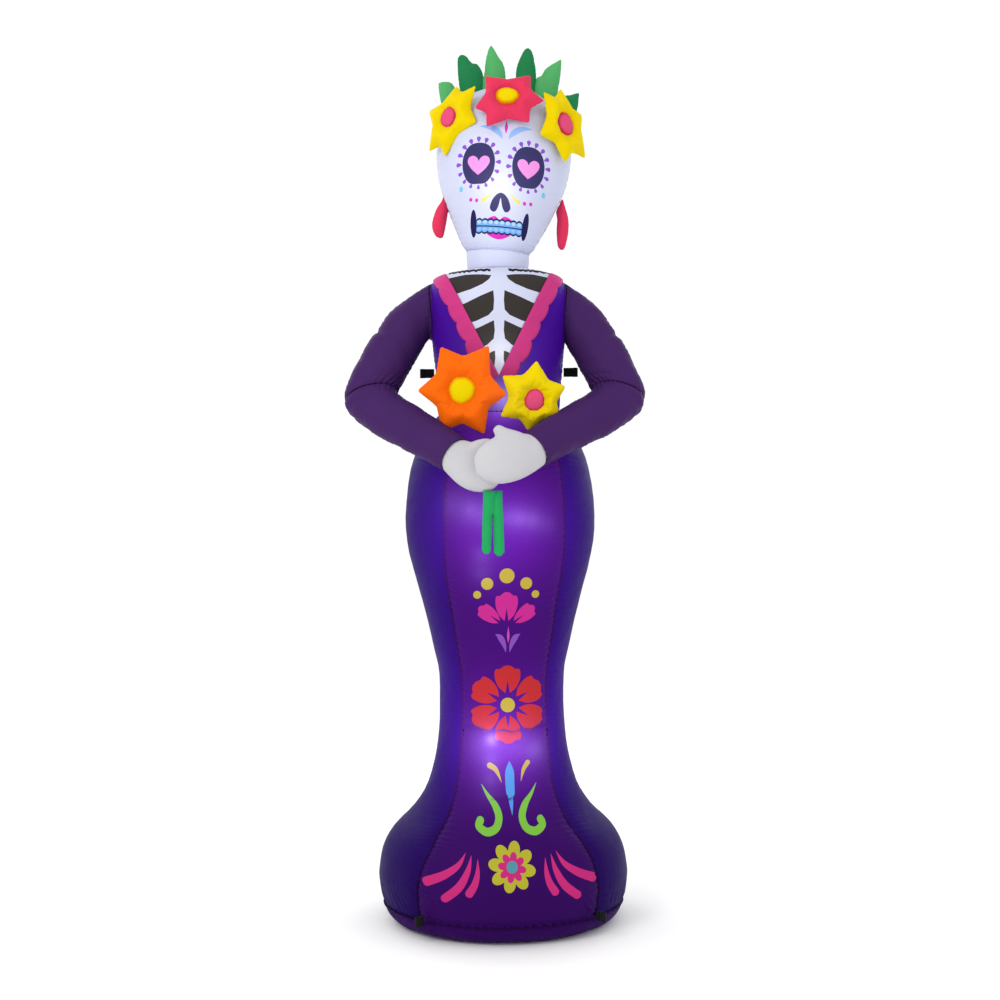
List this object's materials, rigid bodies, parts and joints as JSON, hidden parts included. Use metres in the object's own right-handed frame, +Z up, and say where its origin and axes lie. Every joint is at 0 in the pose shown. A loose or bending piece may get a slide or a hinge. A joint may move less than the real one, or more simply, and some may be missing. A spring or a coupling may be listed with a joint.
{
  "type": "inflatable catrina lawn figure",
  "caption": "Air-filled sewn skeleton lady in a flared mermaid gown, with flower crown, folded hands and bouquet, a blower in its back and lamps inside.",
  "frame": {"origin": "on the ground at the middle of the base", "axes": "+Z is up, the figure faces -Y and +X is to the right of someone who looks at its front"},
  "size_m": [0.829, 0.7294, 2.4383],
  "materials": {
    "gown_cloth": "satin",
    "gown_side_cloth": "satin",
    "bodice_cloth": "satin",
    "sleeve_cloth": "satin",
    "bone_cloth": "satin",
    "glove_cloth": "satin",
    "trim_cloth": "satin",
    "red_cloth": "satin",
    "yellow_cloth": "satin",
    "orange_cloth": "satin",
    "pink_cloth": "satin",
    "light_leaf_cloth": "satin",
    "dark_leaf_cloth": "satin",
    "stem_cloth": "satin",
    "webbing": "matte",
    "blower_plastic": "matte",
    "fan_plastic": "satin",
    "motor_steel": "satin",
    "screw_steel": "satin",
    "cable_plastic": "satin",
    "lens_plastic": "gloss",
    "zip_metal": "satin"
  },
  "bodies": {
    "figure": {"skirt_front": "gown_cloth", "base_band": "gown_cloth", "skirt_left": "gown_side_cloth", "skirt_right": "gown_side_cloth", "skirt_back": "gown_side_cloth", "base_floor": "gown_side_cloth", "inlet_collar": "gown_side_cloth", "bodice_front_left": "bodice_cloth", "bodice_front_right": "bodice_cloth", "bodice_back": "bodice_cloth", "chest_panel": "bone_cloth", "neck_band": "bone_cloth", "face_panel": "bone_cloth", "head_back_panel": "bone_cloth", "trim_left": "trim_cloth", "trim_right": "trim_cloth", "upper_sleeve_left": "sleeve_cloth", "upper_sleeve_right": "sleeve_cloth", "lower_sleeve_left": "sleeve_cloth", "lower_sleeve_right": "sleeve_cloth", "hand_left": "glove_cloth", "hand_right": "glove_cloth", "crown_flower_left": "yellow_cloth", "crown_flower_middle": "red_cloth", "crown_flower_right": "yellow_cloth", "crown_centre_left": "pink_cloth", "crown_centre_middle": "yellow_cloth", "crown_centre_right": "pink_cloth", "leaf_1": "light_leaf_cloth", "leaf_2": "dark_leaf_cloth", "leaf_3": "light_leaf_cloth", "leaf_4": "dark_leaf_cloth", "leaf_5": "light_leaf_cloth", "leaf_6": "dark_leaf_cloth", "bouquet_flower_large": "orange_cloth", "bouquet_flower_small": "yellow_cloth", "bouquet_centre_large": "yellow_cloth", "bouquet_centre_small": "pink_cloth", "tether_loops": "webbing", "stake_loops": "webbing", "knee_strap": "webbing", "inlet_grille": "blower_plastic", "blower_housing": "blower_plastic", "blower_screws": "screw_steel", "blower_motor": "motor_steel", "motor_bracket": "blower_plastic", "cable_gland": "blower_plastic", "lamp_cable": "cable_plastic", "lamp_bases": "cable_plastic", "lamp_lenses": "lens_plastic", "zip_tape": "webbing"},
    "earring_left": {"earring_left": "red_cloth"},
    "earring_right": {"earring_right": "red_cloth"},
    "stems": {"stem_left": "stem_cloth", "stem_right": "stem_cloth"},
    "impeller": {"impeller": "fan_plastic"},
    "zip_slider": {"zip_slider": "zip_metal"},
    "zip_pull": {"zip_pull": "zip_metal"}
  },
  "joints": [
    {"name": "impeller_spin", "type": "hinge", "parent": "figure", "child": "impeller", "pos_m": [0, 0.308, 0.15], "axis": [0, 1, 0], "continuous": true},
    {"name": "earring_left_swing", "type": "hinge", "parent": "figure", "child": "earring_left", "pos_m": [-0.16, 0, 2.004], "axis": [0, 1, 0], "range_deg": [0, 30], "stiffness_Nm_per_rad": 0.06},
    {"name": "earring_right_swing", "type": "hinge", "parent": "figure", "child": "earring_right", "pos_m": [0.187, 0, 1.996], "axis": [0, -1, 0], "range_deg": [0, 30], "stiffness_Nm_per_rad": 0.06},
    {"name": "stems_swing", "type": "hinge", "parent": "figure", "child": "stems", "pos_m": [0, -0.292, 1.18], "axis": [-1, 0, 0], "range_deg": [0, 35]},
    {"name": "zipper_slide", "type": "slide", "parent": "figure", "child": "zip_slider", "axis": [0, 0, -1], "range_m": [0, 0.118]},
    {"name": "pull_swing", "type": "hinge", "parent": "zip_slider", "child": "zip_pull", "pos_m": [0, 0.18495, 0.676], "axis": [1, 0, 0], "range_deg": [0, 150]}
  ]
}
